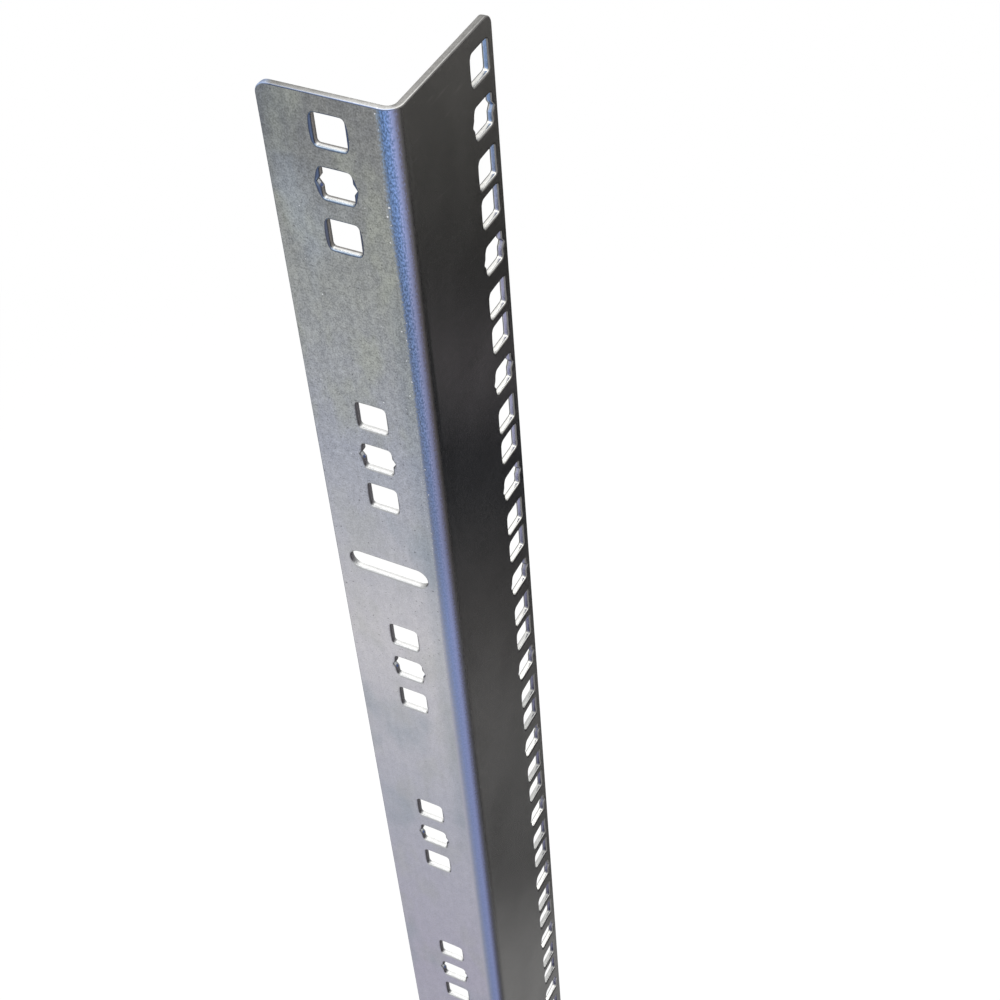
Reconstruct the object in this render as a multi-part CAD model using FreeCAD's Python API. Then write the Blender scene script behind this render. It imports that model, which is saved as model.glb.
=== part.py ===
import FreeCAD, Part
import math
import os

# Rack mounting rail: one L-shaped strip of zinc-plated steel sheet, punched flat and then folded.
# +Z runs up the rail, -Y is the front that equipment is screwed to, -X is the side that meets the rack.
# The origin is on the outer face of the side flange, on its hole line, at the bottom end.

# Sheet and section
sheet_thickness = 2.0
front_flange_width = 50.0
side_flange_width = 40.0
inner_bend_radius = 2.5
free_corner_radius = 3.5

# Rack units along the rail
rack_units = 18
unit_height = 44.45
hole_pitch = 15.875
end_margin = 4.5

# Square cage-nut holes
square_hole_side = 9.5
square_hole_corner_radius = 1.0
front_hole_edge_distance = 7.5

# Small V in both sides of the middle hole of each three
notch_depth = 1.2
notch_mouth = 3.4

# Groups of three holes on the side flange, spread evenly about the middle of the rail
side_hole_setback = 20.0
side_group_count = 9
side_group_pitch = 94.6

# Depth-adjusting slots on the side flange, each midway between two groups
slot_length = 27.0
slot_width = 7.0
slot_setback = 22.0
slot_gaps_from_end = 1.5

# Worked out from the above
rail_length = rack_units * unit_height + 2 * end_margin
outer_bend_radius = inner_bend_radius + sheet_thickness
front_face_y = -side_hole_setback
bend_centre = FreeCAD.Vector(outer_bend_radius, front_face_y + outer_bend_radius, 0)
up = FreeCAD.Vector(0, 0, 1)
right = FreeCAD.Vector(1, 0, 0)
back = FreeCAD.Vector(0, 1, 0)


def rounded_outline(corners):
    # corners: (across, along, radius) in order; each corner becomes an arc that meets its two sides
    edges = []
    ends = []
    for index, (across, along, radius) in enumerate(corners):
        here = FreeCAD.Vector(across, along, 0)
        before = FreeCAD.Vector(*corners[index - 1][:2], 0)
        after = FreeCAD.Vector(*corners[(index + 1) % len(corners)][:2], 0)
        to_before = (before - here).normalize()
        to_after = (after - here).normalize()
        half_angle = to_before.getAngle(to_after) / 2
        setback = radius / math.tan(half_angle)
        start = here + to_before * setback
        end = here + to_after * setback
        if radius:
            inward = (to_before + to_after).normalize()
            crown = here + inward * (radius / math.sin(half_angle) - radius)
            edges.append(Part.Arc(start, crown, end).toShape())
        ends.append((start, end))
    for index, (start, _) in enumerate(ends):
        previous_end = ends[index - 1][1]
        if start.distanceToPoint(previous_end) > 1e-6:
            edges.append(Part.makeLine(previous_end, start))
    return Part.Wire(Part.__sortEdges__(edges))


def rectangle(width, height, radius, across, along):
    half_width = width / 2
    half_height = height / 2
    signs = [(-1, -1), (1, -1), (1, 1), (-1, 1)]
    return rounded_outline([(across + i * half_width, along + j * half_height, radius) for i, j in signs])


def square_hole(across, along):
    return rectangle(square_hole_side, square_hole_side, square_hole_corner_radius, across, along)


def notched_hole(across, along):
    half_side = square_hole_side / 2
    half_mouth = notch_mouth / 2
    tip = half_side + notch_depth
    right_side = [
        (half_side, -half_side, square_hole_corner_radius),
        (half_side, -half_mouth, 0),
        (tip, 0, 0),
        (half_side, half_mouth, 0),
        (half_side, half_side, square_hole_corner_radius),
    ]
    left_side = [(-x, -z, radius) for x, z, radius in right_side]
    return rounded_outline([(across + x, along + z, radius) for x, z, radius in right_side + left_side])


def slot(across, along):
    return rectangle(slot_length, slot_width, slot_width / 2, across, along)


def hole_group(across, middle):
    plain = [square_hole(across, middle + step * hole_pitch) for step in (-1, 1)]
    return plain + [notched_hole(across, middle)]


def front_holes(across):
    middles = [end_margin + (unit + 0.5) * unit_height for unit in range(rack_units)]
    return [hole for middle in middles for hole in hole_group(across, middle)]


def side_holes(across):
    first = rail_length / 2 - (side_group_count - 1) / 2 * side_group_pitch
    middles = [first + group * side_group_pitch for group in range(side_group_count)]
    return [hole for middle in middles for hole in hole_group(across, middle)]


def side_slots(across):
    lower = rail_length / 2 - ((side_group_count - 1) / 2 - slot_gaps_from_end) * side_group_pitch
    return [slot(across, lower), slot(across, rail_length - lower)]


def flange(width, holes, bend_line, reach, inward):
    # A punched blank from the bend line to the free edge, raised to the sheet's thickness
    run = width - outer_bend_radius
    outline = rounded_outline([
        (0, 0, 0),
        (run, 0, free_corner_radius),
        (run, rail_length, free_corner_radius),
        (0, rail_length, 0),
    ])
    blank = Part.makeFace([outline] + holes, "Part::FaceMakerBullseye")
    blank.Placement = FreeCAD.Placement(bend_line, FreeCAD.Rotation(reach, up, reach.cross(up), "XYZ"))
    return blank.extrude(inward * sheet_thickness)


def bend():
    # A quarter of a tube between the two bend lines
    outer = Part.makeCylinder(outer_bend_radius, rail_length, bend_centre, up, 90)
    inner = Part.makeCylinder(inner_bend_radius, rail_length, bend_centre, up, 90)
    corner = outer.cut(inner)
    corner.rotate(bend_centre, up, 180)
    return corner


front_bend_line = FreeCAD.Vector(outer_bend_radius, front_face_y, 0)
front_hole_across = front_flange_width - front_hole_edge_distance - outer_bend_radius
front_flange = flange(front_flange_width, front_holes(front_hole_across), front_bend_line, right, back)

side_bend_line = FreeCAD.Vector(0, front_face_y + outer_bend_radius, 0)
side_hole_across = side_hole_setback - outer_bend_radius
slot_across = slot_setback - outer_bend_radius
side_punching = side_holes(side_hole_across) + side_slots(slot_across)
side_flange = flange(side_flange_width, side_punching, side_bend_line, back, right)

rail = bend().multiFuse([front_flange, side_flange]).removeSplitter().Solids[0]

os.makedirs("parts", exist_ok=True)
rail.exportStep("parts/rail.step")
print(f"rail {rail_length:.1f} mm long, {rail.Volume / 1000:.1f} cm3, valid {rail.isValid()}, {len(rail.Faces)} faces")
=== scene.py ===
import bmesh
import bpy
import math
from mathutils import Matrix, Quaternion, Vector


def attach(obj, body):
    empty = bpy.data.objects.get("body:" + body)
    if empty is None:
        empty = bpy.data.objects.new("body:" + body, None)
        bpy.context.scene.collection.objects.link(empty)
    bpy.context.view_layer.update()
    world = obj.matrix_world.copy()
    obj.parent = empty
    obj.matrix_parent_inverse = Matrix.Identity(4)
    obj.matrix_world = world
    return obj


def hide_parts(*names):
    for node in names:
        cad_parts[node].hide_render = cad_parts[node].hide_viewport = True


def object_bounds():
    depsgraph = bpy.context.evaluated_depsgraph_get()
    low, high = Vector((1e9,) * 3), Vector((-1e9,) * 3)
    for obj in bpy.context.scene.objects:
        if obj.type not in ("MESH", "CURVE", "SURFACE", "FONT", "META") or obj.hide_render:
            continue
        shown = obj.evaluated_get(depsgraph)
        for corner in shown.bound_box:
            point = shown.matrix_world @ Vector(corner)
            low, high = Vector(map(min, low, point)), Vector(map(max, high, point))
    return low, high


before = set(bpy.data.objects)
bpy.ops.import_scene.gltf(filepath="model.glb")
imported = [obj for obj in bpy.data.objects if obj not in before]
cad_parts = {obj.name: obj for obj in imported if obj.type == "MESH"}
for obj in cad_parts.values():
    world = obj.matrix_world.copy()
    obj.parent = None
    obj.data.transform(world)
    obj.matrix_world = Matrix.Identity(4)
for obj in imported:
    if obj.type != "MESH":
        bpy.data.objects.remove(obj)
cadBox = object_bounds()
low = Vector(cadBox[0])
high = Vector(cadBox[1])
mm = 0.001
white = (1, 1, 1, 1)

# The rail: a strip punched flat, then folded once. Flat places are u across, v along, outer face up.
rail = {
    "length": high.z - low.z,
    "frontWidth": high.x - low.x,
    "sideWidth": high.y - low.y,
    "sheet": 2.0 * mm,
    "bendRadius": 4.5 * mm,  # outside of the fold
    "bendSteps": 18,
    "cornerRadius": 3.5 * mm,
    "cornerSteps": 10,
    "edgeRoll": 0.35 * mm,  # soft shoulder of the sheared outline
    "flatBand": 0.3 * mm,  # flat ring that keeps the shading of the big faces true
    "weld": 0.03 * mm,
    "sharpAngle": 30,  # degrees
}
bendArc = rail["bendRadius"] * math.pi / 2
bendColumn = bendArc / rail["bendSteps"]
frontReach = bendArc / 2 + rail["frontWidth"] - rail["bendRadius"]
sideReach = bendArc / 2 + rail["sideWidth"] - rail["bendRadius"]
print(f"frame: a rail {rail['length'] / mm:.1f} mm long")

# Rack holes on the front, threes and slots on the side
holes = {
    "side": 9.5 * mm,
    "cornerRadius": 1.0 * mm,
    "cornerSteps": 5,
    "sideStep": 1.3 * mm,  # longest straight run between points of an outline
    "notchDepth": 1.2 * mm,
    "notchMouth": 3.4 * mm,
    "notchEase": 0.3 * mm,
    "notchFlare": 0.6 * mm,  # how far the roll bulges past a notch on the outer face
    "flarePower": 1.6,  # how full that bulge is
    "leastNotch": 0.01,  # marks every wall of a notched hole
    "wallSlack": 0.01 * mm,
    "slotLength": 27.0 * mm,
    "slotWidth": 7.0 * mm,
    "slotSteps": 14,
    "rollSide": 1.1 * mm,  # die roll on the outer face, widest at the left and right of a hole
    "rollEnd": 0.7 * mm,
    "rollCorner": 0.45 * mm,
    "rollDepth": 0.7 * mm,
    "rollSteps": 5,
    "burnish": 1.3 * mm,  # depth where the smooth shear ends and the break begins
    "breakFlare": 0.08 * mm,
    "perThree": 3,
    "pitch": 15.875 * mm,
    "unitHeight": 44.45 * mm,
    "units": 18,
    "endMargin": 4.5 * mm,
    "edgeDistance": 7.5 * mm,
    "groups": 9,
    "groupPitch": 94.6 * mm,
    "sideSetback": 20.0 * mm,  # from the front face
    "slotSetback": 22.0 * mm,
    "slotGap": 2.5,  # group pitches from the middle of the rail
}


def roundedOutline(corners, steps):
    # corners: (across, along, radius) anticlockwise; each becomes an arc of the given steps
    points = []
    for index, (across, along, radius) in enumerate(corners):
        here = Vector((across, along))
        before = Vector(corners[index - 1][:2])
        after = Vector(corners[(index + 1) % len(corners)][:2])
        toBefore = (before - here).normalized()
        toAfter = (after - here).normalized()
        if radius == 0:
            points.append(here)
            continue
        half = toBefore.angle(toAfter) / 2
        inward = (toBefore + toAfter).normalized()
        centre = here + inward * (radius / math.sin(half))
        start = here + toBefore * (radius / math.tan(half)) - centre
        turn = math.pi - 2 * half
        side = 1 if toBefore.x * toAfter.y < toBefore.y * toAfter.x else -1  # inside corners turn back
        for step in range(steps + 1):
            angle = side * turn * step / steps
            spun = Vector((start.x * math.cos(angle) - start.y * math.sin(angle),
                           start.x * math.sin(angle) + start.y * math.cos(angle)))
            points.append(centre + spun)
    return points


def boxOutline(left, bottom, right, top, radii, steps):
    places = [(left, bottom), (right, bottom), (right, top), (left, top)]
    return roundedOutline([(x, y, radius) for (x, y), radius in zip(places, radii)], steps)


def plainHole():
    half = holes["side"] / 2
    return boxOutline(-half, -half, half, half, [holes["cornerRadius"]] * 4, holes["cornerSteps"])


def notchedHole():
    half = holes["side"] / 2
    mouth = holes["notchMouth"] / 2
    tip = half + holes["notchDepth"]
    rightSide = [
        (half, -half, holes["cornerRadius"]),
        (half, -mouth, 0),
        (tip, 0, holes["notchEase"]),
        (half, mouth, 0),
        (half, half, holes["cornerRadius"]),
    ]
    leftSide = [(-x, -y, radius) for x, y, radius in rightSide]
    return roundedOutline(rightSide + leftSide, holes["cornerSteps"])


def slotHole():
    halfWidth = holes["slotWidth"] / 2
    straight = holes["slotLength"] / 2 - halfWidth
    points = []
    for end in (1, -1):
        for step in range(holes["slotSteps"] + 1):
            angle = math.pi * (step / holes["slotSteps"] - 0.5)
            reach = straight + halfWidth * math.cos(angle)
            points.append(Vector((end * reach, end * halfWidth * math.sin(angle))))
    return points


def shoulderAndWall(roll, rollDepth):
    # Offset and depth from the flat ring on the outer face, over the shoulder and down the sheared wall
    steps = [(roll + rail["flatBand"], 0)]
    for step in range(holes["rollSteps"] + 1):
        angle = math.pi / 2 * step / holes["rollSteps"]
        steps.append((roll * (1 - math.sin(angle)), rollDepth * (1 - math.cos(angle))))
    return steps + [(0, holes["burnish"]), (holes["breakFlare"], rail["sheet"])]


def edgeProfile():
    steps = shoulderAndWall(rail["edgeRoll"], rail["edgeRoll"])
    return [Vector((-offset, depth)) for offset, depth in steps]


def withSidePoints(points):
    # Breaks long straight runs so that the roll can widen along them
    finer = []
    for index, here in enumerate(points):
        after = points[(index + 1) % len(points)]
        parts = max(1, math.ceil((after - here).length / holes["sideStep"]))
        finer += [here.lerp(after, part / parts) for part in range(parts)]
    return finer


def bulgedRoll(widest, along):
    # Width of the roll beside a straight wall, narrow at the corners and widest in the middle
    spread = min(1, 2 * abs(along) / holes["side"])
    return holes["rollCorner"] + (widest - holes["rollCorner"]) * (1 - spread ** 2)


def rimObject(name, outline, square=True, flare=0):
    # The punched wall of one hole and the roll round it. For the finish, each point keeps the way it faces
    # and, as a third number, how far it is into a notch: never quite 0 on a notched hole.
    points = withSidePoints(outline)
    count = len(points)
    half = holes["side"] / 2
    straightHalf = half - holes["cornerRadius"]
    places = []
    facing = []
    for index, here in enumerate(points):
        toHere = (here - points[index - 1]).normalized()
        along = (points[(index + 1) % count] - here).normalized() + toHere
        wallFacing = Vector((along.y, -along.x)).normalized()
        outward = wallFacing
        roll = bulgedRoll(holes["rollEnd"], here.x if square else 0)
        if square and abs(here.x) > half - holes["wallSlack"]:  # left and right walls and their notches
            outward = Vector((math.copysign(1, here.x), 0))
            bulge = flare * max(0, 1 - (abs(here.y) / straightHalf) ** holes["flarePower"])
            roll = half + bulgedRoll(holes["rollSide"], here.y) + bulge - abs(here.x)
        steps = shoulderAndWall(roll, holes["rollDepth"])
        places += [(here + outward * offset).to_3d() - Vector((0, 0, depth)) for offset, depth in steps]
        intoNotch = max(holes["leastNotch"], (abs(here.x) - half) / holes["notchDepth"]) if flare else 0
        facing += [wallFacing.x, wallFacing.y, intoNotch] * len(steps)
    ring = len(places) // count
    faces = []
    for index in range(count):
        first = index * ring
        after = (index + 1) % count * ring
        for step in range(ring - 1):
            faces.append((first + step, first + step + 1, after + step + 1, after + step))
    mesh = bpy.data.meshes.new(name)
    mesh.from_pydata(places, [], faces)
    mesh.attributes.new("facing", "FLOAT_VECTOR", "POINT").data.foreach_set("vector", facing)
    made = bpy.data.objects.new(name, mesh)
    bpy.context.scene.collection.objects.link(made)
    return made


def blankOutline():
    # The whole developed strip, with points across the fold at both ends and one past it on each side
    radius = rail["cornerRadius"]
    top = rail["length"]
    fold = [-bendArc / 2 + column * bendColumn for column in range(-1, rail["bendSteps"] + 2)]
    corners = [(u, 0, 0) for u in fold]
    corners += [(frontReach, 0, radius), (frontReach, top, radius)]
    corners += [(u, top, 0) for u in reversed(fold)]
    corners += [(-sideReach, top, radius), (-sideReach, 0, radius)]
    return roundedOutline(corners, rail["cornerSteps"])


def flangeOutline(inset, reach):
    # One flat flange, from just past the fold to its free edge; reach is signed
    radius = rail["cornerRadius"] - inset
    bottom = inset
    top = rail["length"] - inset
    foldSide = math.copysign(bendArc / 2 + bendColumn, reach)
    freeSide = reach - math.copysign(inset, reach)
    if reach > 0:
        return boxOutline(foldSide, bottom, freeSide, top, [0, radius, radius, 0], rail["cornerSteps"])
    return boxOutline(freeSide, bottom, foldSide, top, [radius, 0, 0, radius], rail["cornerSteps"])


def bothFlanges(inset):
    return [flangeOutline(inset, reach) for reach in (frontReach, -sideReach)]


def outlineObject(name, outlines, closed=True):
    curve = bpy.data.curves.new(name, "CURVE")
    curve.dimensions = "3D"
    curve.twist_mode = "Z_UP"
    for points in outlines:
        spline = curve.splines.new("POLY")
        spline.points.add(len(points) - 1)
        for place, point in zip(spline.points, points):
            place.co = (point.x, point.y, 0, 1)
        spline.use_cyclic_u = closed
    made = bpy.data.objects.new(name, curve)
    bpy.context.scene.collection.objects.link(made)
    return made


# Node helpers
def addNode(tree, kind, **settings):
    made = tree.nodes.new(kind)
    for name, value in settings.items():
        setattr(made, name, value)
    return made


def feed(tree, socket, value):
    # A socket from another node is linked, anything else is set
    if isinstance(value, bpy.types.NodeSocket):
        tree.links.new(value, socket)
    else:
        socket.default_value = value


def maths(tree, operation, first, second=None):
    made = addNode(tree, "ShaderNodeMath", operation=operation)
    feed(tree, made.inputs[0], first)
    if second is not None:
        feed(tree, made.inputs[1], second)
    return made.outputs[0]


def plus(tree, first, second):
    return maths(tree, "ADD", first, second)


def minus(tree, first, second):
    return maths(tree, "SUBTRACT", first, second)


def times(tree, first, *others):
    for other in others:
        first = maths(tree, "MULTIPLY", first, other)
    return first


def vector(tree, x=0.0, y=0.0, z=0.0):
    made = addNode(tree, "ShaderNodeCombineXYZ")
    for socket, value in zip(made.inputs, (x, y, z)):
        feed(tree, socket, value)
    return made.outputs[0]


def axesOf(tree, place):
    made = addNode(tree, "ShaderNodeSeparateXYZ")
    tree.links.new(place, made.inputs[0])
    return made.outputs


def position(tree):
    return addNode(tree, "GeometryNodeInputPosition").outputs[0]


def joined(tree, parts):
    made = addNode(tree, "GeometryNodeJoinGeometry")
    for part in parts:
        tree.links.new(part, made.inputs[0])
    return made.outputs[0]


def realized(tree, geometry):
    made = addNode(tree, "GeometryNodeRealizeInstances")
    tree.links.new(geometry, made.inputs[0])
    return made.outputs[0]


def placed(tree, geometry, place):
    made = addNode(tree, "GeometryNodeSetPosition")
    tree.links.new(geometry, made.inputs["Geometry"])
    tree.links.new(place, made.inputs["Position"])
    return made.outputs[0]


def shifted(tree, geometry, offset):
    made = addNode(tree, "GeometryNodeTransform")
    tree.links.new(geometry, made.inputs["Geometry"])
    tree.links.new(offset, made.inputs["Translation"])
    return made.outputs[0]


def marked(tree, geometry, name, value, kind, domain):
    made = addNode(tree, "GeometryNodeStoreNamedAttribute", data_type=kind, domain=domain)
    tree.links.new(geometry, made.inputs["Geometry"])
    made.inputs["Name"].default_value = name
    feed(tree, made.inputs["Value"], value)
    return made.outputs[0]


def objectGeometry(tree, source, asInstance=False):
    made = addNode(tree, "GeometryNodeObjectInfo")
    tree.links.new(source, made.inputs["Object"])
    made.inputs["As Instance"].default_value = asInstance
    return made.outputs["Geometry"]


# The steps of making the strip
def threesOfPoints(tree, count, first, step, pitch, across):
    # Points in threes: each three is a step above the last, its holes a pitch apart
    line = addNode(tree, "GeometryNodeMeshLine", mode="OFFSET")
    feed(tree, line.inputs["Count"], times(tree, count, holes["perThree"]))
    index = addNode(tree, "GeometryNodeInputIndex").outputs[0]
    three = maths(tree, "FLOOR", maths(tree, "DIVIDE", index, holes["perThree"]))
    place = minus(tree, maths(tree, "MODULO", index, holes["perThree"]), 1)
    along = plus(tree, first, times(tree, three, step))
    along = plus(tree, along, times(tree, place, pitch))
    return placed(tree, line.outputs[0], vector(tree, across, along))


def rimsOnPoints(tree, points, rims, choice=None):
    made = addNode(tree, "GeometryNodeInstanceOnPoints")
    tree.links.new(points, made.inputs["Points"])
    tree.links.new(joined(tree, rims), made.inputs["Instance"])
    if choice is not None:
        made.inputs["Pick Instance"].default_value = True
        tree.links.new(choice, made.inputs["Instance Index"])
    return made.outputs[0]


def swept(tree, path, profile):
    made = addNode(tree, "GeometryNodeCurveToMesh")
    tree.links.new(path, made.inputs["Curve"])
    tree.links.new(profile, made.inputs["Profile Curve"])
    return made.outputs[0]


def rimCurves(tree, rims, sheet, onFace):
    # The open edges of the hole rims, on the outer face or at the back, as curves to fill up to
    neighbours = addNode(tree, "GeometryNodeInputMeshEdgeNeighbors").outputs[0]
    height = axesOf(tree, position(tree))[2]
    middle = times(tree, sheet, -0.5)
    here = maths(tree, "GREATER_THAN" if onFace else "LESS_THAN", height, middle)
    openEdge = maths(tree, "LESS_THAN", neighbours, 1.5)  # one face only
    made = addNode(tree, "GeometryNodeMeshToCurve")
    tree.links.new(rims, made.inputs["Mesh"])
    tree.links.new(times(tree, here, openEdge), made.inputs["Selection"])
    return made.outputs[0]


def filled(tree, curves):
    made = addNode(tree, "GeometryNodeFillCurve", mode="TRIANGLES")
    tree.links.new(joined(tree, curves), made.inputs["Curve"])
    return made.outputs[0]


def foldStrip(tree, size, inset):
    # The part of one face that the fold will curve, and a column past it on both sides
    grid = addNode(tree, "GeometryNodeMeshGrid")
    feed(tree, grid.inputs["Size X"], plus(tree, size["Fold arc"], times(tree, size["Fold column"], 2)))
    feed(tree, grid.inputs["Size Y"], minus(tree, size["Length"], times(tree, inset, 2)))
    lines = plus(tree, size["Fold steps"], 3)  # one more than the steps, and one past each side
    feed(tree, grid.inputs["Vertices X"], lines)
    grid.inputs["Vertices Y"].default_value = 2
    return shifted(tree, grid.outputs[0], vector(tree, y=times(tree, size["Length"], 0.5)))


def lowered(tree, geometry, sheet):
    # To the back of the sheet, facing the other way
    down = shifted(tree, geometry, vector(tree, z=times(tree, sheet, -1)))
    turned = addNode(tree, "GeometryNodeFlipFaces")
    tree.links.new(down, turned.inputs[0])
    return turned.outputs[0]


def folded(tree, geometry, radius, arc, centreX, centreY):
    # Bends the flat strip round the fold: outside it the flanges run on straight
    u, v, height = axesOf(tree, position(tree))
    start = times(tree, arc, -0.5)
    turn = maths(tree, "DIVIDE", minus(tree, u, start), radius)
    turn = maths(tree, "MINIMUM", maths(tree, "MAXIMUM", turn, 0.0), math.pi / 2)
    spare = minus(tree, u, plus(tree, start, times(tree, turn, radius)))
    arm = plus(tree, radius, height)
    cosine = maths(tree, "COSINE", turn)
    sine = maths(tree, "SINE", turn)
    x = minus(tree, centreX, times(tree, arm, cosine))
    x = plus(tree, x, times(tree, spare, sine))
    y = minus(tree, centreY, times(tree, arm, sine))
    y = minus(tree, y, times(tree, spare, cosine))
    return placed(tree, geometry, vector(tree, x, y, v))


def railTree(numbers, shapes):
    # The strip is punched, edged, filled and folded in this order; every size is a named input
    tree = bpy.data.node_groups.new("punchedAndFolded", "GeometryNodeTree")
    tree.interface.new_socket("Geometry", in_out="OUTPUT", socket_type="NodeSocketGeometry")
    for name, value in numbers.items():
        kind = "NodeSocketInt" if isinstance(value, int) else "NodeSocketFloat"
        tree.interface.new_socket(name, in_out="INPUT", socket_type=kind)
    for name in shapes:
        tree.interface.new_socket(name, in_out="INPUT", socket_type="NodeSocketObject")
    tree.interface.new_socket("Finish", in_out="INPUT", socket_type="NodeSocketMaterial")
    size = addNode(tree, "NodeGroupInput").outputs
    sheet = size["Sheet"]

    frontPoints = threesOfPoints(tree, size["Units"], size["First unit"], size["Unit height"],
                                 size["Pitch"], size["Front line"])
    sidePoints = threesOfPoints(tree, size["Groups"], size["First group"], size["Group pitch"],
                                size["Pitch"], size["Side line"])
    index = addNode(tree, "GeometryNodeInputIndex").outputs[0]
    middleHole = maths(tree, "COMPARE", maths(tree, "MODULO", index, holes["perThree"]), 1)
    choices = [objectGeometry(tree, size[name], True) for name in ("Notched hole", "Plain hole")]
    squares = rimsOnPoints(tree, joined(tree, [sidePoints, frontPoints]), choices, middleHole)

    slotLine = addNode(tree, "GeometryNodeMeshLine", mode="END_POINTS")
    slotLine.inputs["Count"].default_value = 2
    for name, place in (("Start Location", "Low slot"), ("Offset", "High slot")):
        tree.links.new(vector(tree, size["Slot line"], size[place]), slotLine.inputs[name])
    slots = rimsOnPoints(tree, slotLine.outputs[0], [objectGeometry(tree, size["Slot"], True)])

    rims = realized(tree, joined(tree, [squares, slots]))
    rims = marked(tree, rims, "cutEdge", 1.0, "FLOAT", "FACE")
    edge = swept(tree, objectGeometry(tree, size["Blank"]), objectGeometry(tree, size["Edge shear"]))
    edge = marked(tree, edge, "cutEdge", 1.0, "FLOAT", "FACE")

    outer = filled(tree, [rimCurves(tree, rims, sheet, True), objectGeometry(tree, size["Outer faces"])])
    outerFold = foldStrip(tree, size, size["Face inset"])
    inner = filled(tree, [rimCurves(tree, rims, sheet, False), objectGeometry(tree, size["Inner faces"])])
    innerFold = foldStrip(tree, size, size["Back inset"])
    back = lowered(tree, joined(tree, [inner, innerFold]), sheet)

    closed = addNode(tree, "GeometryNodeMergeByDistance")
    tree.links.new(joined(tree, [outer, outerFold, back, rims, edge]), closed.inputs["Geometry"])
    tree.links.new(size["Weld"], closed.inputs["Distance"])
    flat = marked(tree, closed.outputs[0], "flatPlace", position(tree), "FLOAT_VECTOR", "POINT")
    bent = folded(tree, flat, size["Fold radius"], size["Fold arc"], size["Fold x"], size["Fold y"])

    finish = addNode(tree, "GeometryNodeSetMaterial")
    tree.links.new(realized(tree, bent), finish.inputs["Geometry"])
    tree.links.new(size["Finish"], finish.inputs["Material"])
    tree.links.new(finish.outputs[0], addNode(tree, "NodeGroupOutput").inputs[0])
    return tree


def tidyMesh(mesh):
    shape = bmesh.new()
    shape.from_mesh(mesh)
    bmesh.ops.recalc_face_normals(shape, faces=shape.faces)
    openEdges = sum(1 for edge in shape.edges if len(edge.link_faces) != 2)
    volume = shape.calc_volume()
    shape.to_mesh(mesh)
    shape.free()
    mesh.shade_smooth()
    mesh.set_sharp_from_angle(angle=math.radians(rail["sharpAngle"]))
    print(f"rail mesh: {len(mesh.polygons)} faces, {openEdges} open edges, {volume * 1e6:.1f} cm3")


def makeRail(finish):
    faceInset = rail["edgeRoll"] + rail["flatBand"]
    backInset = holes["breakFlare"]
    middle = rail["length"] / 2
    numbers = {
        "Length": rail["length"],
        "Sheet": rail["sheet"],
        "Units": holes["units"],
        "First unit": holes["endMargin"] + holes["unitHeight"] / 2,
        "Unit height": holes["unitHeight"],
        "Pitch": holes["pitch"],
        "Front line": frontReach - holes["edgeDistance"],
        "Groups": holes["groups"],
        "First group": middle - (holes["groups"] - 1) / 2 * holes["groupPitch"],
        "Group pitch": holes["groupPitch"],
        "Side line": rail["bendRadius"] - bendArc / 2 - holes["sideSetback"],
        "Slot line": rail["bendRadius"] - bendArc / 2 - holes["slotSetback"],
        "Low slot": middle - holes["slotGap"] * holes["groupPitch"],
        "High slot": middle + holes["slotGap"] * holes["groupPitch"],
        "Fold radius": rail["bendRadius"],
        "Fold arc": bendArc,
        "Fold column": bendColumn,
        "Fold steps": rail["bendSteps"],
        "Fold x": low.x + rail["bendRadius"],
        "Fold y": low.y + rail["bendRadius"],
        "Face inset": faceInset,
        "Back inset": backInset,
        "Weld": rail["weld"],
    }
    shapes = {
        "Plain hole": rimObject("plainHole", plainHole()),
        "Notched hole": rimObject("notchedHole", notchedHole(), flare=holes["notchFlare"]),
        "Slot": rimObject("slotHole", slotHole(), square=False),
        "Edge shear": outlineObject("edgeShear", [edgeProfile()], closed=False),
        "Blank": outlineObject("blank", [blankOutline()]),
        "Outer faces": outlineObject("outerFaces", bothFlanges(faceInset)),
        "Inner faces": outlineObject("innerFaces", bothFlanges(backInset)),
    }
    tree = railTree(numbers, shapes)
    carrier = bpy.data.objects.new("railCarrier", bpy.data.meshes.new("railCarrier"))
    bpy.context.scene.collection.objects.link(carrier)
    modifier = carrier.modifiers.new("punchedAndFolded", "NODES")
    modifier.node_group = tree
    values = {**numbers, **shapes, "Finish": finish}
    for item in tree.interface.items_tree:
        if item.in_out == "INPUT":
            modifier[item.identifier] = values[item.name]
    evaluated = carrier.evaluated_get(bpy.context.evaluated_depsgraph_get())
    mesh = bpy.data.meshes.new_from_object(evaluated)
    for helper in [carrier, *shapes.values()]:
        bpy.data.objects.remove(helper)
    mesh.materials.clear()  # the outlines bring an empty slot along
    mesh.materials.append(finish)
    mesh.polygons.foreach_set("material_index", [0] * len(mesh.polygons))
    made = bpy.data.objects.new("zinc_rail", mesh)
    bpy.context.scene.collection.objects.link(made)
    tidyMesh(mesh)
    return made


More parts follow.
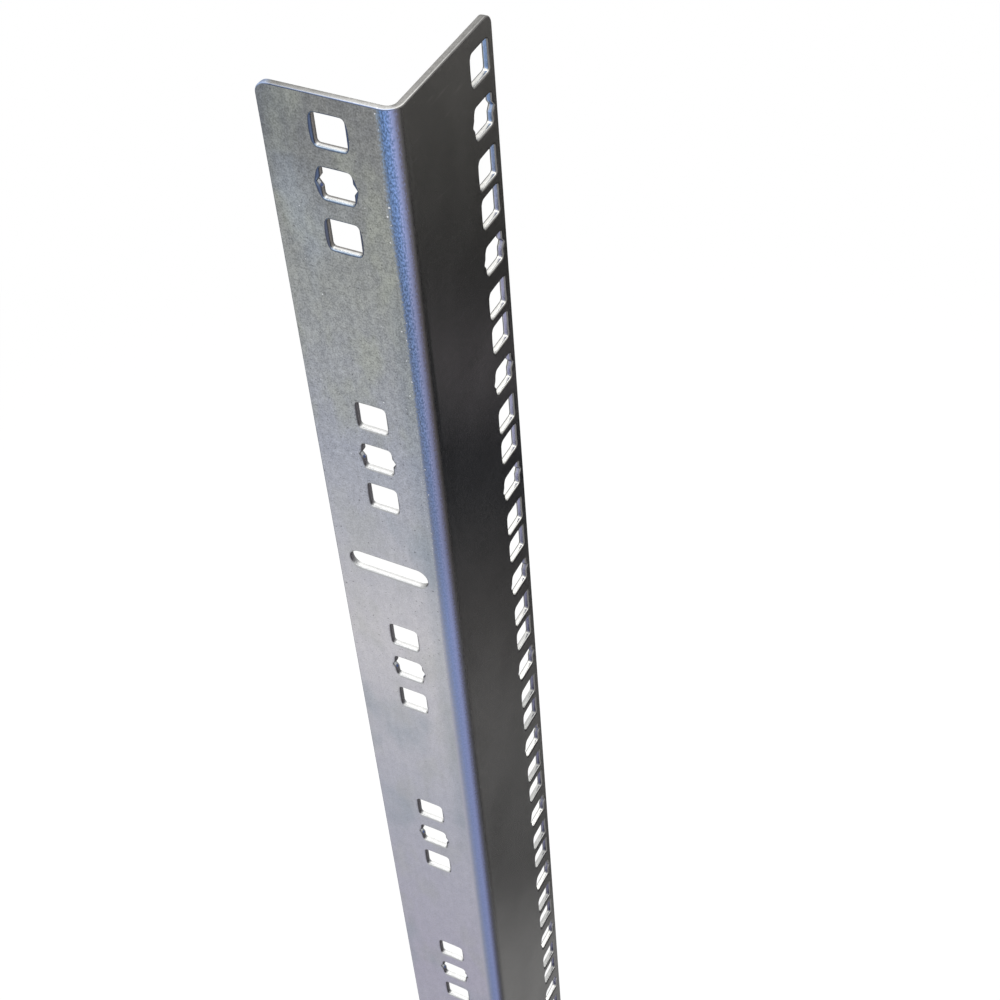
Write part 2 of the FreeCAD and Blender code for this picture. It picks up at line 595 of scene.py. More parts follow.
# Zinc plating: satin side, a fold coloured with a painted blue reflection, and a smooth front that mirrors
# the card, its darker grey partly a painted dark reflection
zinc = {
    "inside": (0.60, 0.61, 0.62, 1),
    "insideShare": 0.9,
    "olive": (0.40, 0.42, 0.37, 1),
    "blueGrey": (0.38, 0.42, 0.48, 1),
    # front plating: a darker grey, partly its own film and partly a painted dark reflection
    "frontFilmAndDarkReflection": (0.20, 0.196, 0.192, 1),
    "blotchDark": (0.93, 0.932, 0.942, 1),  # multiply the plating in blotches of a few millimetres
    "blotchLight": (1.075, 1.072, 1.052, 1),
    "pit": (0.11, 0.11, 0.12, 1),
    "besideFold": (0.86, 0.885, 0.90, 1),  # shades the side next to the fold
    "foldShade": (0.85, 0.81, 0.78, 1),  # dulls the painted blue reflection of the fold between the first two hole groups
    "brownWallReflection": (0.44, 0.41, 0.385, 1),  # painted reflection on the left and right walls of the side holes near the rail's ends
    "paintedWallShade": (0.27, 0.255, 0.27, 1),  # painted shade on the same walls further from the ends
    "blueWallReflection": (0.33, 0.47, 0.76, 1),  # painted blue reflection on the same walls of the front holes near the rail's ends
    # painted lilac reflection on the front holes' left and right walls between those
    "lilacWallReflection": (0.50, 0.50, 0.70, 1),
    "duskWallReflection": (0.28, 0.28, 0.42, 1),  # painted dusky reflection on those walls furthest from the ends
    "greyWallReflection": (0.26, 0.26, 0.255, 1),  # painted grey reflection on the upper and lower walls of the plain front holes there
    "paintedRollShade": (0.10, 0.095, 0.10, 1),  # painted shade on shoulders away from the ends of the rail
    # painted highlight on the top and bottom shoulders and walls of the side holes away from the ends
    "rollAndWallHighlight": (0.50, 0.50, 0.495, 1),
    "notchBlueReflection": (0.08, 0.13, 0.34, 1),  # painted blue reflection on the lower half of a notch
    # painted glint at the tip of a notch
    "notchTipGlint": (0.85, 0.87, 0.90, 1),
    # painted shade near the free corner of the side
    "paintedCornerShade": (0.10, 0.125, 0.18, 1),
    "cornerGlint": (0.40, 0.50, 0.72, 1),
    # painted glint in bright specks on the side
    "glintSpeck": (0.85, 0.87, 0.90, 1),
    "speckBoost": 0.09,  # more specks along the edge of the fold
    "dust": (0.48, 0.48, 0.47, 1),  # on the front film
    "edgeTint": (0.5, 0.5, 0.5, 1),  # keeps glancing reflections of the film low
    "fineShare": 0.6,  # of the fine noise in the grain, the rest is medium
    "cutGrain": 0.35,  # how much of the grain shows on cut edges
    "raggedness": 2.6 * mm,  # of the edge of the fold's blue
    "dullInset": 0.9 * mm,  # how much narrower the blue is where it is dulled
    "sideRoughness": 0.42,
    "frontRoughness": 0.24,
    "shearRoughness": 0.4,
    "frontPatches": 0.25,  # patches of roughness on the front, beside 1 elsewhere
    "bumpDistance": 0.02 * mm,
    "bumpStrength": 0.5,
    "frontBump": 0.06,  # bump on the front, beside 1 elsewhere
}
# Noises over the flat strip: scale, detail, and stretch across, along and into the sheet
noises = {
    "fine": (2100, 2, (1.0, 0.8, 1.0)),
    "medium": (700, 3, (1.0, 0.7, 1.0)),
    "cloud": (75, 4, (1.0, 0.5, 1.0)),
    "haze": (40, 3, (1.0, 0.6, 1.0)),
    "blotch": (300, 2, (1.0, 0.65, 1.0)),
    "spark": (1100, 0, (1.0, 1.0, 1.0)),
    "drawn": (650, 2, (1.0, 0.05, 1.0)),
    "streak": (2300, 4, (1.0, 0.5, 1.0)),
    "mark": (800, 2, (0.1, 1.0, 1.0)),
}
# What the noises do: noise, its level from and to, strength there
noiseLevels = {
    "olive": ("cloud", 0.48, 0.66, 0, 1),
    "blueGrey": ("haze", 0.54, 0.72, 0, 0.6),
    "grain": ("grain", 0.3, 0.7, -0.32, 0.22),
    "drawnLines": ("drawn", 0.35, 0.65, -0.03, 0.03),
    "blotches": ("blotch", 0.3, 0.7, 0, 1),
    "pits": ("spark", 0.19, 0.24, 0.65, 0),
    "dashes": ("streak", 0.34, 0.66, 0.6, 1.28),
    "filmClouds": ("haze", 0.35, 0.65, -0.08, 0.08),
    "filmMarks": ("mark", 0.6, 0.74, 0, 0.2),
    "dust": ("spark", 0.83, 0.87, 0, 0.5),
    "roughPatches": ("medium", 0.3, 0.7, -0.05, 0.05),
}
speckLevels = (0.85, 0.88)
# Where the finish changes along the rail: millimetres from its nearer end, from and to, strength there
alongRail = {
    "olive": (60, 150, 0.55, 0.2),
    "corner": (0, 45, 0.4, 0),
    "grain": (75, 190, 1.15, 0.45),
    "blotches": (70, 160, 1, 0.45),
    "besideFrom": (40, 75, 0, 1),
    "besideTo": (270, 330, 1, 0),
    "pits": (180, 270, 1, 0.2),
    "calmDashes": (50, 200, 0, 0.8),
    "paleFold": (-40, 300, 0, 1),
    "dullFrom": (25, 65, 0, 1),
    "dullTo": (140, 200, 1, 0),
    "plainRolls": (45, 110, 0, 0.85),
    "darkRolls": (24, 46, 0, 0.5),
    "shadedWalls": (50, 110, 0, 1),
    "blueWalls": (25, 75, 1, 0),
    "duskWalls": (140, 240, 0, 1),
    "greyWalls": (200, 260, 0, 1),
    "glint": (0.5, 4, 1, 0),
    "specks": (110, 190, 1, 0),
}
# Across the rail: millimetres from the middle of the fold, the side below 0
freeEdge = -sideReach / mm
acrossRail = {
    "corner": (freeEdge, freeEdge + 20, 1, 0),
    "beside": (-11, -5.5, 0, 1),
    "calmDashes": (-2, 1, 0, 1),
    "dullFold": (1.5, 2.5, 1, 0),
    "pastFold": (-5.2, -4.2, 0, 1),
    "film": (2, 6, 0, 1),
    "front": (-1, 1, 0, 1),
    "smoothFront": (0.5, 3, 0, 1),
    "dullOutline": (freeEdge, -4, 0.55, 1),
    "glint": (freeEdge + 1, freeEdge + 5, 1, 0),
    "specksFrom": (-6.5, -5, 0, 1),
    "specksTo": (-4, -2.5, 1, 0),
    "side": (-2.5, -1.5, 1, 0),
}
# Into the sheet: millimetres below the outer face
intoSheet = {
    "outer": (0.7, 1.3, 1, 0),
    "thinRoll": (0.06, 0.22, 0, 1),
    "wall": (0.45, 0.7, 0, 1),
    "cut": (0.001, 0.025, 0, 1),
}
# By the way that a hole's wall faces, and by how far it is into a notch; these place the painted
# reflection and shade on the walls
wallTurns = {
    "sideways": (0.6, 0.95, 0, 1),
    "rim": (0.3, 0.6, 0, 1),
    "lowerHalf": (-0.2, -0.4, 0, 1),
    "plainHole": (0.002, 0.008, 1, 0),
    "inNotch": (0.02, 0.12, 0, 1),
    "lowTip": (0.4, 0.6, 0, 1),
    "tip": (0.72, 0.9, 0, 1),
}
# Plating along the rail, placed in millimetres from the nearer end: zinc tones with a painted reflection
# that darkens them towards the ends
platingAndReflectionAlongRail = [
    (0, (0.245, 0.252, 0.255, 1)),
    (25, (0.27, 0.28, 0.285, 1)),
    (60, (0.355, 0.37, 0.37, 1)),
    (120, (0.42, 0.44, 0.505, 1)),
    (200, (0.62, 0.61, 0.645, 1)),
    (290, (0.49, 0.495, 0.565, 1)),
    (405, (0.47, 0.455, 0.55, 1)),
]
# Shoulders by depth below the outer face, from a dark outline to the start of the wall, in painted
# reflection and shade: navy on the left and right of the side holes, pale blue on their top and bottom,
# grey on the front holes
sideShoulder = [
    (0.0, (0.05, 0.06, 0.09, 1)),
    (0.03, (0.06, 0.08, 0.14, 1)),
    (0.14, (0.11, 0.15, 0.26, 1)),
    (0.4, (0.06, 0.07, 0.10, 1)),
    (0.7, (0.09, 0.08, 0.08, 1)),
]
lowShoulder = [
    (0.0, (0.10, 0.11, 0.13, 1)),
    (0.03, (0.08, 0.10, 0.15, 1)),
    (0.12, (0.20, 0.27, 0.38, 1)),
    (0.32, (0.34, 0.39, 0.45, 1)),
    (0.7, (0.46, 0.46, 0.45, 1)),
]
frontShoulder = [
    (0.0, zinc["frontFilmAndDarkReflection"]),
    (0.03, (0.12, 0.116, 0.112, 1)),
    (0.16, (0.26, 0.255, 0.245, 1)),
    (0.35, (0.42, 0.415, 0.40, 1)),
    (0.7, (0.50, 0.50, 0.48, 1)),
]
# The sheared outline of the sheet: its thin shoulder, a painted dark reflection with a painted highlight
# line where it meets the cut face, and its cut face
sideOutline = [
    (0.0, (0.12, 0.14, 0.19, 1)),
    (0.06, (0.10, 0.13, 0.22, 1)),
    (0.2, (0.22, 0.26, 0.36, 1)),
    (0.38, (0.46, 0.47, 0.48, 1)),
    (0.6, (0.36, 0.36, 0.355, 1)),
    (1.2, (0.40, 0.395, 0.38, 1)),
    (1.85, (0.34, 0.335, 0.32, 1)),
    (2.0, (0.12, 0.12, 0.12, 1)),
]
frontOutline = [
    (0.0, zinc["frontFilmAndDarkReflection"]),
    (0.1, (0.15, 0.145, 0.14, 1)),
    (0.3, (0.42, 0.415, 0.40, 1)),
    (0.5, (0.30, 0.295, 0.285, 1)),
    (1.2, (0.24, 0.235, 0.225, 1)),
    (1.85, (0.26, 0.255, 0.245, 1)),
    (2.0, (0.12, 0.12, 0.12, 1)),
]
# Sheared walls by depth, down to the back edge: burnish, then the break; used on the top and bottom walls,
# lighter than the left and right walls as a painted highlight
sideShear = [
    (0.6, (0.45, 0.45, 0.44, 1)),
    (1.25, (0.46, 0.46, 0.45, 1)),
    (1.36, (0.23, 0.22, 0.21, 1)),
    (1.85, (0.20, 0.19, 0.18, 1)),
    (1.95, (0.10, 0.10, 0.10, 1)),
    (2.0, (0.10, 0.10, 0.10, 1)),
]
frontShear = [
    (0.6, (0.52, 0.52, 0.50, 1)),
    (1.0, (0.56, 0.555, 0.535, 1)),
    (1.7, (0.55, 0.545, 0.52, 1)),
    (1.8, (0.08, 0.08, 0.08, 1)),
    (2.0, (0.06, 0.06, 0.06, 1)),
]
# Colours across the fold, placed in millimetres from its middle: a painted blue reflection with a painted
# dark reflection band on the front side; deep blue at the ends, paler between them
foldReflectionColours = [
    (-5.2, (0.33, 0.34, 0.35, 1)),
    (-4.3, (0.23, 0.28, 0.34, 1)),
    (-3.3, (0.13, 0.22, 0.41, 1)),
    (-2.0, (0.19, 0.31, 0.60, 1)),
    (-0.6, (0.32, 0.37, 0.63, 1)),
    (0.6, (0.175, 0.17, 0.23, 1)),
    (1.2, (0.15, 0.143, 0.15, 1)),
    (1.8, (0.165, 0.16, 0.158, 1)),
    (2.4, (0.19, 0.186, 0.182, 1)),
    (3.1, zinc["frontFilmAndDarkReflection"]),
]
paleFoldReflectionColours = [
    (-5.2, (0.50, 0.49, 0.56, 1)),
    (-4.3, (0.43, 0.43, 0.51, 1)),
    (-3.3, (0.29, 0.32, 0.44, 1)),
    (-2.0, (0.23, 0.28, 0.48, 1)),
    (-0.6, (0.25, 0.29, 0.51, 1)),
    (0.6, (0.135, 0.14, 0.21, 1)),
    (1.2, (0.10, 0.102, 0.125, 1)),
    (1.8, (0.105, 0.105, 0.11, 1)),
    (2.4, (0.15, 0.148, 0.147, 1)),
    (3.1, zinc["frontFilmAndDarkReflection"]),
]


def mixColour(tree, factor, first, second, blend="MIX"):
    made = addNode(tree, "ShaderNodeMix", data_type="RGBA", blend_type=blend)
    feed(tree, made.inputs[0], factor)
    feed(tree, made.inputs[6], first)
    feed(tree, made.inputs[7], second)
    return made.outputs[2]


def tinted(tree, colour, tint):
    return mixColour(tree, 1.0, colour, tint, "MULTIPLY")


def band(tree, value, fromLow, fromHigh, toLow=0.0, toHigh=1.0):
    made = addNode(tree, "ShaderNodeMapRange", interpolation_type="SMOOTHSTEP")
    for socket, number in zip(made.inputs[1:5], (fromLow, fromHigh, toLow, toHigh)):
        feed(tree, socket, number)
    feed(tree, made.inputs[0], value)
    return made.outputs[0]


def zone(tree, distance, limits):
    # A band between two places in millimetres
    start, end, before, after = limits
    return band(tree, distance, start * mm, end * mm, before, after)


def alongZone(tree, at, name):
    return zone(tree, at["fromEnd"], alongRail[name])


def acrossZone(tree, at, name):
    return zone(tree, at["across"], acrossRail[name])


def noiseBand(tree, noise, name):
    source, *limits = noiseLevels[name]
    return band(tree, noise[source], *limits)


def speckle(tree, place, scale, detail, stretch):
    spread = addNode(tree, "ShaderNodeMapping")
    tree.links.new(place, spread.inputs["Vector"])
    spread.inputs["Scale"].default_value = stretch
    made = addNode(tree, "ShaderNodeTexNoise")
    tree.links.new(spread.outputs[0], made.inputs["Vector"])
    made.inputs["Scale"].default_value = scale
    made.inputs["Detail"].default_value = detail
    return made.outputs["Fac"]


def stopsRamp(tree, value, stops):
    # A colour ramp with its stops at real distances in millimetres
    first = stops[0][0]
    span = stops[-1][0] - first
    spread = addNode(tree, "ShaderNodeMapRange")
    tree.links.new(value, spread.inputs[0])
    spread.inputs[1].default_value = first * mm
    spread.inputs[2].default_value = (first + span) * mm
    ramp = addNode(tree, "ShaderNodeValToRGB")
    while len(ramp.color_ramp.elements) < len(stops):
        ramp.color_ramp.elements.new(0.5)
    for element, (spot, tint) in zip(ramp.color_ramp.elements, stops):
        element.position = (spot - first) / span
        element.color = tint
    tree.links.new(spread.outputs[0], ramp.inputs[0])
    return ramp.outputs[0]


def attribute(tree, name):
    return addNode(tree, "ShaderNodeAttribute", attribute_name=name).outputs


def finishPlaces(tree):
    # Where a point is on the flat strip, and which way its hole's wall faces
    flat = attribute(tree, "flatPlace")["Vector"]
    cut = attribute(tree, "cutEdge")["Fac"]
    across, along, height = axesOf(tree, flat)
    faceAcross, faceAlong, intoNotch = axesOf(tree, attribute(tree, "facing")["Vector"])
    depth = times(tree, height, -1)
    at = {
        "flat": flat,
        "across": across,
        "depth": depth,
        "fromEnd": maths(tree, "MINIMUM", along, minus(tree, rail["length"], along)),
        "outer": zone(tree, depth, intoSheet["outer"]),
        "onCut": times(tree, cut, zone(tree, depth, intoSheet["cut"])),
        "faceAlong": faceAlong,
        "intoNotch": intoNotch,
    }
    leftOrRight = maths(tree, "ABSOLUTE", faceAcross)
    upOrDown = maths(tree, "ABSOLUTE", faceAlong)
    at["sideways"] = band(tree, leftOrRight, *wallTurns["sideways"])
    at["onRim"] = band(tree, plus(tree, leftOrRight, upOrDown), *wallTurns["rim"])
    at["onFront"] = acrossZone(tree, at, "front")
    at["smooth"] = times(tree, acrossZone(tree, at, "smoothFront"), at["outer"])
    at["plainer"] = alongZone(tree, at, "plainRolls")
    unnotched = band(tree, intoNotch, *wallTurns["plainHole"])
    at["greyer"] = times(tree, alongZone(tree, at, "greyWalls"), unnotched)
    return at


def grainLevel(tree, at, noise):
    # The fine grain and the faint drawn lines, as a number to multiply by
    swing = plus(tree, noiseBand(tree, noise, "grain"), noiseBand(tree, noise, "drawnLines"))
    return plus(tree, times(tree, swing, alongZone(tree, at, "grain")), 1.0)


def satinZinc(tree, at, noise, level):
    # Mottled olive and blue under the grain, with soft blotches and small pits; the plating along the rail
    # is partly a painted reflection, with painted shade near the free corner of the side
    outer = at["outer"]
    inside = band(tree, outer, 0, 1, zinc["insideShare"], 0)
    colour = mixColour(tree, inside, stopsRamp(tree, at["fromEnd"], platingAndReflectionAlongRail), zinc["inside"])
    olive = times(tree, noiseBand(tree, noise, "olive"), alongZone(tree, at, "olive"))
    colour = mixColour(tree, olive, colour, zinc["olive"])
    colour = mixColour(tree, noiseBand(tree, noise, "blueGrey"), colour, zinc["blueGrey"])
    # painted shade near the free corner of the side
    corner = times(tree, acrossZone(tree, at, "corner"), alongZone(tree, at, "corner"))
    colour = mixColour(tree, corner, colour, zinc["paintedCornerShade"])
    satin = tinted(tree, colour, level)
    blotchy = noiseBand(tree, noise, "blotches")
    blotchTint = mixColour(tree, blotchy, zinc["blotchDark"], zinc["blotchLight"])
    satin = mixColour(tree, alongZone(tree, at, "blotches"), satin, tinted(tree, satin, blotchTint))
    beside = times(tree, acrossZone(tree, at, "beside"), alongZone(tree, at, "besideFrom"),
                   alongZone(tree, at, "besideTo"), outer)
    satin = mixColour(tree, beside, satin, tinted(tree, satin, zinc["besideFold"]))
    pitted = times(tree, noiseBand(tree, noise, "pits"), outer, alongZone(tree, at, "pits"))
    return mixColour(tree, pitted, satin, zinc["pit"])


def foldAndFilm(tree, at, noise, satin):
    # Fold colours, a painted blue reflection with a painted dark band on the front side, their edge broken
    # up by short streaks
    ragged = plus(tree, at["across"], times(tree, minus(tree, noise["streak"], 0.5), zinc["raggedness"]))
    calm = maths(tree, "MAXIMUM", acrossZone(tree, at, "calmDashes"), alongZone(tree, at, "calmDashes"))
    dashLevel = mixColour(tree, calm, noiseBand(tree, noise, "dashes"), white)
    deep = stopsRamp(tree, ragged, foldReflectionColours)
    pale = stopsRamp(tree, ragged, paleFoldReflectionColours)
    tint = tinted(tree, mixColour(tree, alongZone(tree, at, "paleFold"), deep, pale), dashLevel)
    between = times(tree, alongZone(tree, at, "dullFrom"), alongZone(tree, at, "dullTo"))
    dull = times(tree, between, acrossZone(tree, at, "dullFold"))
    tint = mixColour(tree, dull, tint, tinted(tree, tint, zinc["foldShade"]))

    # The front film has faint clouds, fine marks across the rail and a little dust
    onFilm = acrossZone(tree, at, "film")
    filmSwing = plus(tree, noiseBand(tree, noise, "filmClouds"), noiseBand(tree, noise, "filmMarks"))
    tint = tinted(tree, tint, plus(tree, times(tree, filmSwing, onFilm), 1.0))
    dusty = times(tree, noiseBand(tree, noise, "dust"), onFilm)
    tint = mixColour(tree, dusty, tint, zinc["dust"])
    edge = minus(tree, ragged, times(tree, between, zinc["dullInset"]))
    pastFold = zone(tree, edge, acrossRail["pastFold"])
    return mixColour(tree, times(tree, pastFold, at["outer"]), satin, tint)


def rollTint(tree, at, satin):
    # The shoulder round a hole, in painted reflection and shade that differ between its left and right and
    # its top and bottom
    depth = at["depth"]
    lowRoll = mixColour(tree, at["plainer"], stopsRamp(tree, depth, lowShoulder), zinc["rollAndWallHighlight"])
    thinRoll = mixColour(tree, zone(tree, depth, intoSheet["thinRoll"]), satin, zinc["paintedRollShade"])
    darker = alongZone(tree, at, "darkRolls")
    sideRoll = mixColour(tree, darker, stopsRamp(tree, depth, sideShoulder), zinc["paintedRollShade"])
    sideRoll = mixColour(tree, at["plainer"], sideRoll, thinRoll)
    onSide = mixColour(tree, at["sideways"], lowRoll, sideRoll)
    frontRoll = mixColour(tree, at["greyer"], stopsRamp(tree, depth, frontShoulder), zinc["greyWallReflection"])
    frontRoll = mixColour(tree, at["sideways"], frontRoll, zinc["frontFilmAndDarkReflection"])
    return mixColour(tree, at["onFront"], onSide, frontRoll)


def wallTint(tree, at):
    # The wall of a hole, in painted reflection and shade chosen by the way it faces: left and right with
    # their notches, then top and bottom
    intoNotch = at["intoNotch"]
    frontWall = mixColour(tree, alongZone(tree, at, "duskWalls"), zinc["lilacWallReflection"], zinc["duskWallReflection"])
    frontWall = mixColour(tree, alongZone(tree, at, "blueWalls"), frontWall, zinc["blueWallReflection"])
    sideWall = mixColour(tree, alongZone(tree, at, "shadedWalls"), zinc["brownWallReflection"], zinc["paintedWallShade"])
    lowerHalf = band(tree, at["faceAlong"], *wallTurns["lowerHalf"])
    lowerHalf = times(tree, lowerHalf, band(tree, intoNotch, *wallTurns["inNotch"]))
    sideWall = mixColour(tree, lowerHalf, sideWall, zinc["notchBlueReflection"])
    lowTip = times(tree, lowerHalf, band(tree, intoNotch, *wallTurns["lowTip"]))
    tip = maths(tree, "MAXIMUM", lowTip, band(tree, intoNotch, *wallTurns["tip"]))
    sideWall = mixColour(tree, tip, sideWall, zinc["notchTipGlint"])
    leftOrRight = mixColour(tree, at["onFront"], sideWall, frontWall)
    sideLow = mixColour(tree, at["plainer"], stopsRamp(tree, at["depth"], sideShear), zinc["rollAndWallHighlight"])
    frontLow = mixColour(tree, at["greyer"], stopsRamp(tree, at["depth"], frontShear), zinc["greyWallReflection"])
    topOrBottom = mixColour(tree, at["onFront"], sideLow, frontLow)
    return mixColour(tree, at["sideways"], topOrBottom, leftOrRight)


def outlineTint(tree, at):
    # The cut outline of the whole sheet, with its painted highlight line, darker towards the free edge of
    # the side, and a glint at the free corners of the side
    duller = acrossZone(tree, at, "dullOutline")
    sideEdge = tinted(tree, stopsRamp(tree, at["depth"], sideOutline), duller)
    glint = times(tree, acrossZone(tree, at, "glint"), alongZone(tree, at, "glint"))
    sideEdge = mixColour(tree, glint, sideEdge, zinc["cornerGlint"])
    return mixColour(tree, at["onFront"], sideEdge, stopsRamp(tree, at["depth"], frontOutline))


def cutTint(tree, at, satin, level):
    onWall = zone(tree, at["depth"], intoSheet["wall"])
    rim = mixColour(tree, onWall, rollTint(tree, at, satin), wallTint(tree, at))
    shear = mixColour(tree, at["onRim"], outlineTint(tree, at), rim)
    return mixColour(tree, zinc["cutGrain"], shear, tinted(tree, shear, level))


def paintedGlintSpecks(tree, at, noise, colour):
    # A few painted glints as bright specks on the side, most of them along the edge of the fold
    edgeOfFold = times(tree, acrossZone(tree, at, "specksFrom"), acrossZone(tree, at, "specksTo"))
    boosted = plus(tree, noise["spark"], times(tree, edgeOfFold, zinc["speckBoost"]))
    onSide = times(tree, at["outer"], acrossZone(tree, at, "side"), alongZone(tree, at, "specks"))
    specks = times(tree, band(tree, boosted, *speckLevels), onSide)
    return mixColour(tree, specks, colour, zinc["glintSpeck"])


def zincFinish():
    material = bpy.data.materials.new("zincPlate")
    material.use_nodes = True
    tree = material.node_tree
    shader = tree.nodes["Principled BSDF"]
    shader.inputs["Metallic"].default_value = 1
    shader.inputs["Specular Tint"].default_value = zinc["edgeTint"]

    at = finishPlaces(tree)
    noise = {name: speckle(tree, at["flat"], *values) for name, values in noises.items()}
    fine = times(tree, noise["fine"], zinc["fineShare"])
    noise["grain"] = plus(tree, fine, times(tree, noise["medium"], 1 - zinc["fineShare"]))
    level = grainLevel(tree, at, noise)
    satin = satinZinc(tree, at, noise, level)
    face = foldAndFilm(tree, at, noise, satin)
    colour = mixColour(tree, at["onCut"], face, cutTint(tree, at, satin, level))
    colour = paintedGlintSpecks(tree, at, noise, colour)
    tree.links.new(colour, shader.inputs["Base Color"])

    smooth = at["smooth"]
    rough = band(tree, smooth, 0, 1, zinc["sideRoughness"], zinc["frontRoughness"])
    patches = band(tree, smooth, 0, 1, 1.0, zinc["frontPatches"])
    rough = plus(tree, rough, times(tree, noiseBand(tree, noise, "roughPatches"), patches))
    shearRough = zinc["shearRoughness"] - zinc["sideRoughness"]
    rough = plus(tree, rough, times(tree, at["onCut"], shearRough))
    tree.links.new(rough, shader.inputs["Roughness"])

    bump = addNode(tree, "ShaderNodeBump")
    bump.inputs["Distance"].default_value = zinc["bumpDistance"]
    bump.inputs["Strength"].default_value = zinc["bumpStrength"]
    bumpLevel = times(tree, noise["grain"], band(tree, smooth, 0, 1, 1.0, zinc["frontBump"]))
    tree.links.new(bumpLevel, bump.inputs["Height"])
    tree.links.new(bump.outputs[0], shader.inputs["Normal"])
    print(f"zinc finish: {len(tree.nodes)} nodes")
    return material


# Plain studio: pale floor, white surroundings, one large softbox overhead, a grey card beside the front
studio = {
    "floorColour": (0.97, 0.97, 0.97, 1),
    "floorReach": 12,
    "floorFade": (0.35, 1.1),  # the lit floor turns to plain white between these distances
    "sheetRoughness": 0.9,
    "fill": 0.4,
    "softboxSpot": (0.45, 0.2, 2.6),
    "softboxSize": 3.2,
    "softboxPower": 68,
    "cardDistance": 0.28,
    "cardBearing": -44,  # degrees from +X
    "cardWidth": 0.54,
    "glowSpot": (0.08, 0.48),  # a soft lighter patch on the card: sideways and height
    "glowReach": 0.06,
    "glowGrey": (0.66, 0.62, 0.66, 1),
}
# Greys of the card by height in millimetres, darkest in the middle
cardGreys = [
    (0, (0.35, 0.35, 0.35, 1)),
    (90, (0.40, 0.40, 0.40, 1)),
    (170, (0.84, 0.84, 0.84, 1)),
    (306, (0.42, 0.41, 0.41, 1)),
    (420, (0.10, 0.11, 0.135, 1)),
    (545, (0.19, 0.19, 0.19, 1)),
    (620, (0.42, 0.415, 0.40, 1)),
    (700, (0.55, 0.54, 0.52, 1)),
]


def stageSheet(name, corners):
    material = bpy.data.materials.new(name)
    material.use_nodes = True
    shader = material.node_tree.nodes["Principled BSDF"]
    shader.inputs["Roughness"].default_value = studio["sheetRoughness"]
    shader.inputs["Specular IOR Level"].default_value = 0.0
    mesh = bpy.data.meshes.new(name)
    mesh.from_pydata(corners, [], [(0, 1, 2, 3)])
    mesh.materials.append(material)
    made = bpy.data.objects.new(name, mesh)
    bpy.context.scene.collection.objects.link(made)
    return made, material.node_tree, shader


def seenRays(tree):
    # 1 for what the camera sees, directly, mirrored or through glass
    rays = addNode(tree, "ShaderNodeLightPath").outputs
    seen = maths(tree, "MAXIMUM", rays["Is Camera Ray"], rays["Is Glossy Ray"])
    return maths(tree, "MAXIMUM", seen, rays["Is Transmission Ray"])


def makeFloor():
    # Near the rail the floor is lit and shaded; further off it is as white as the background
    reach = studio["floorReach"]
    z = low.z
    corners = [(-reach, -reach, z), (reach, -reach, z), (reach, reach, z), (-reach, reach, z)]
    _, tree, shader = stageSheet("floor", corners)
    shader.inputs["Base Color"].default_value = studio["floorColour"]
    away = addNode(tree, "ShaderNodeVectorMath", operation="LENGTH")
    tree.links.new(addNode(tree, "ShaderNodeTexCoord").outputs["Object"], away.inputs[0])
    fade = band(tree, away.outputs["Value"], *studio["floorFade"])
    plainWhite = addNode(tree, "ShaderNodeEmission")
    blend = addNode(tree, "ShaderNodeMixShader")
    tree.links.new(times(tree, fade, seenRays(tree)), blend.inputs[0])
    tree.links.new(shader.outputs[0], blend.inputs[1])
    tree.links.new(plainWhite.outputs[0], blend.inputs[2])
    tree.links.new(blend.outputs[0], tree.nodes["Material Output"].inputs[0])
    print(f"floor: {2 * reach} m wide")


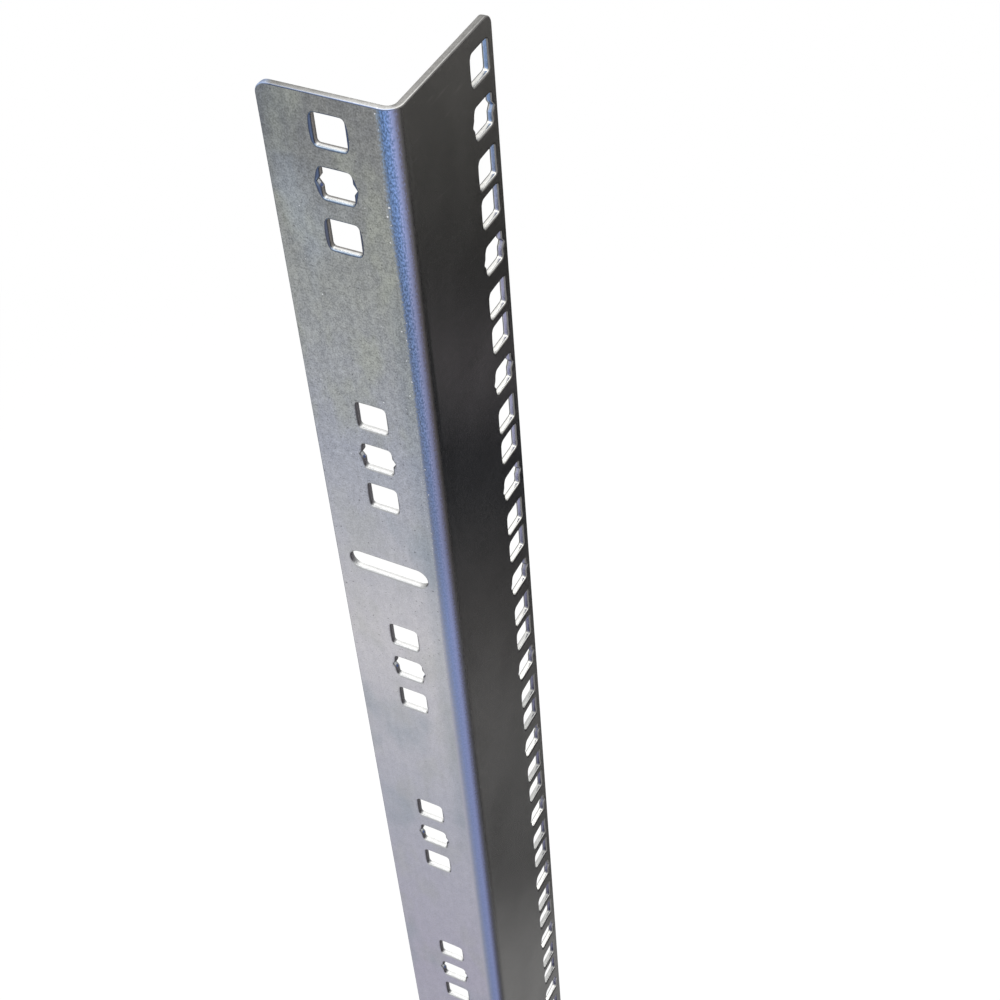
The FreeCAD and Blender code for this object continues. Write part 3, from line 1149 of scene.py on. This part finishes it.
def makeCard():
    # Only reflections show the card; it lights and shades nothing
    bearing = math.radians(studio["cardBearing"])
    outward = Vector((math.cos(bearing), math.sin(bearing), 0))
    sideways = Vector((-outward.y, outward.x, 0)) * studio["cardWidth"] / 2
    middle = Vector((low.x, low.y, 0)) + outward * studio["cardDistance"]
    left = middle - sideways
    right = middle + sideways
    bottom, top = [Vector((0, 0, stop[0] * mm)) for stop in (cardGreys[0], cardGreys[-1])]
    card, tree, shader = stageSheet("card", [left + bottom, right + bottom, right + top, left + top])
    places = addNode(tree, "ShaderNodeTexCoord").outputs["Object"]
    shade = stopsRamp(tree, axesOf(tree, places)[2], cardGreys)
    glow = addNode(tree, "ShaderNodeVectorMath", operation="DISTANCE")
    tree.links.new(places, glow.inputs[0])
    aside, above = studio["glowSpot"]
    glow.inputs[1].default_value = middle + sideways.normalized() * aside + Vector((0, 0, above))
    near = band(tree, glow.outputs["Value"], 0, studio["glowReach"], 1, 0)
    tree.links.new(mixColour(tree, near, shade, studio["glowGrey"]), shader.inputs["Base Color"])
    card.visible_camera = False
    card.visible_diffuse = False
    card.visible_shadow = False
    print(f"card: {studio['cardDistance']} m from the fold")


def makeLight():
    lamp = bpy.data.lights.new("softbox", "AREA")
    lamp.shape = "SQUARE"
    lamp.size = studio["softboxSize"]
    lamp.energy = studio["softboxPower"]
    holder = bpy.data.objects.new("softbox", lamp)
    holder.location = studio["softboxSpot"]
    bpy.context.scene.collection.objects.link(holder)

    world = bpy.data.worlds.new("studio")
    bpy.context.scene.world = world
    world.use_nodes = True
    tree = world.node_tree
    strength = addNode(tree, "ShaderNodeMapRange")  # full white where it is seen, a weaker fill light
    tree.links.new(seenRays(tree), strength.inputs[0])
    strength.inputs[3].default_value = studio["fill"]
    background = tree.nodes["Background"]
    background.inputs[0].default_value = white
    tree.links.new(strength.outputs[0], background.inputs[1])
    print(f"light: softbox of {studio['softboxPower']} W, fill {studio['fill']}")


view = {
    "spot": Vector((-305.46, -215.82, 1039.58)) * mm,
    "target": Vector((8.4, -34.55, 677.94)) * mm,
    "roll": -4.861,  # degrees
    "lens": 64.117,
    "sensor": 36,
    "nearest": 0.01,
}


def makeCamera():
    data = bpy.data.cameras.new("camera")
    data.lens = view["lens"]
    data.sensor_width = view["sensor"]
    data.clip_start = view["nearest"]
    camera = bpy.data.objects.new("camera", data)
    bpy.context.scene.collection.objects.link(camera)
    level = (view["target"] - view["spot"]).to_track_quat("-Z", "Y")
    camera.rotation_mode = "QUATERNION"
    camera.rotation_quaternion = level @ Quaternion((0, 0, 1), math.radians(view["roll"]))
    camera.location = view["spot"]
    bpy.context.scene.camera = camera
    print(f"camera: {view['lens']} mm lens")


bpy.context.scene.view_settings.view_transform = "Standard"
makeFloor()
makeCard()
makeLight()
makeCamera()
piece = makeRail(zincFinish())
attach(piece, "root")
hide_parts("rail")
